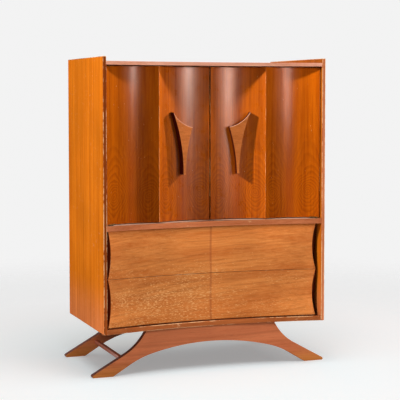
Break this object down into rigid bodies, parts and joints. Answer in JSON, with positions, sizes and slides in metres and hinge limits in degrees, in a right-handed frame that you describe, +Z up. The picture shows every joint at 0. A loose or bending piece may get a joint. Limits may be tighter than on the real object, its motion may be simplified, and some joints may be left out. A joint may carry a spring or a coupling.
{
  "type": "highboy",
  "caption": "Tall chest with a hollow front: fluted doors with sculpted three-cornered handles over wide scooped drawers, on arched splayed leg boards.",
  "frame": {"origin": "on the floor, below the middle of the case", "axes": "+Z up, -Y out of the front with doors and drawers, +X to the right of someone facing it"},
  "size_m": [1.018, 0.54, 1.28],
  "materials": {
    "case_veneer": "satin lacquered mahogany veneer",
    "door_veneer": "gloss lacquered figured veneer",
    "drawer_veneer": "satin lacquered veneer, worn",
    "handle_wood": "satin lacquered mahogany",
    "base_wood": "satin lacquered mahogany",
    "inner_wood": "sealed secondary wood",
    "back_ply": "plain plywood",
    "hinge_brass": "aged brass",
    "catch_steel": "plain steel",
    "catch_body": "dark painted"
  },
  "bodies": {
    "case": {"left_side_panel": "case_veneer", "right_side_panel": "case_veneer", "top_panel": "case_veneer", "middle_divider": "case_veneer", "bottom_panel": "case_veneer", "back_panel": "back_ply", "lower_shelf": "inner_wood", "upper_shelf": "inner_wood", "shelf_pins": "hinge_brass", "left_runner_board": "inner_wood", "right_runner_board": "inner_wood", "left_drawer_runners": "inner_wood", "right_drawer_runners": "inner_wood", "left_hinge_case_leaves": "hinge_brass", "right_hinge_case_leaves": "hinge_brass", "door_stop": "inner_wood", "catch_magnets": "catch_body", "front_leg_arch": "base_wood", "rear_leg_arch": "base_wood", "left_stretcher": "base_wood", "right_stretcher": "base_wood"},
    "left_door": {"left_door_panel": "door_veneer", "left_door_top_rail": "inner_wood", "left_door_bottom_rail": "inner_wood", "left_door_hinge_stile": "inner_wood", "left_door_meeting_stile": "inner_wood", "left_handle": "handle_wood", "left_hinge_door_leaves": "hinge_brass", "left_strike_plate": "catch_steel"},
    "right_door": {"right_door_panel": "door_veneer", "right_door_top_rail": "inner_wood", "right_door_bottom_rail": "inner_wood", "right_door_hinge_stile": "inner_wood", "right_door_meeting_stile": "inner_wood", "right_handle": "handle_wood", "right_hinge_door_leaves": "hinge_brass", "right_strike_plate": "catch_steel"},
    "upper_drawer": {"upper_drawer_front": "drawer_veneer", "upper_drawer_left_side": "inner_wood", "upper_drawer_right_side": "inner_wood", "upper_drawer_back": "inner_wood", "upper_drawer_bottom": "back_ply", "upper_drawer_muntin": "inner_wood"},
    "lower_drawer": {"lower_drawer_front": "drawer_veneer", "lower_drawer_left_side": "inner_wood", "lower_drawer_right_side": "inner_wood", "lower_drawer_back": "inner_wood", "lower_drawer_bottom": "back_ply", "lower_drawer_muntin": "inner_wood"}
  },
  "joints": [
    {"name": "left_door_hinge", "type": "hinge", "parent": "case", "child": "left_door", "pos_m": [-0.456, -0.25183, 0.9305], "axis": [0, 0, -1], "range_deg": [0, 105]},
    {"name": "right_door_hinge", "type": "hinge", "parent": "case", "child": "right_door", "pos_m": [0.456, -0.25183, 0.9305], "axis": [0, 0, 1], "range_deg": [0, 105]},
    {"name": "upper_drawer_slide", "type": "slide", "parent": "case", "child": "upper_drawer", "axis": [0, -1, 0], "range_m": [0, 0.32]},
    {"name": "lower_drawer_slide", "type": "slide", "parent": "case", "child": "lower_drawer", "axis": [0, -1, 0], "range_m": [0, 0.32]}
  ]
}
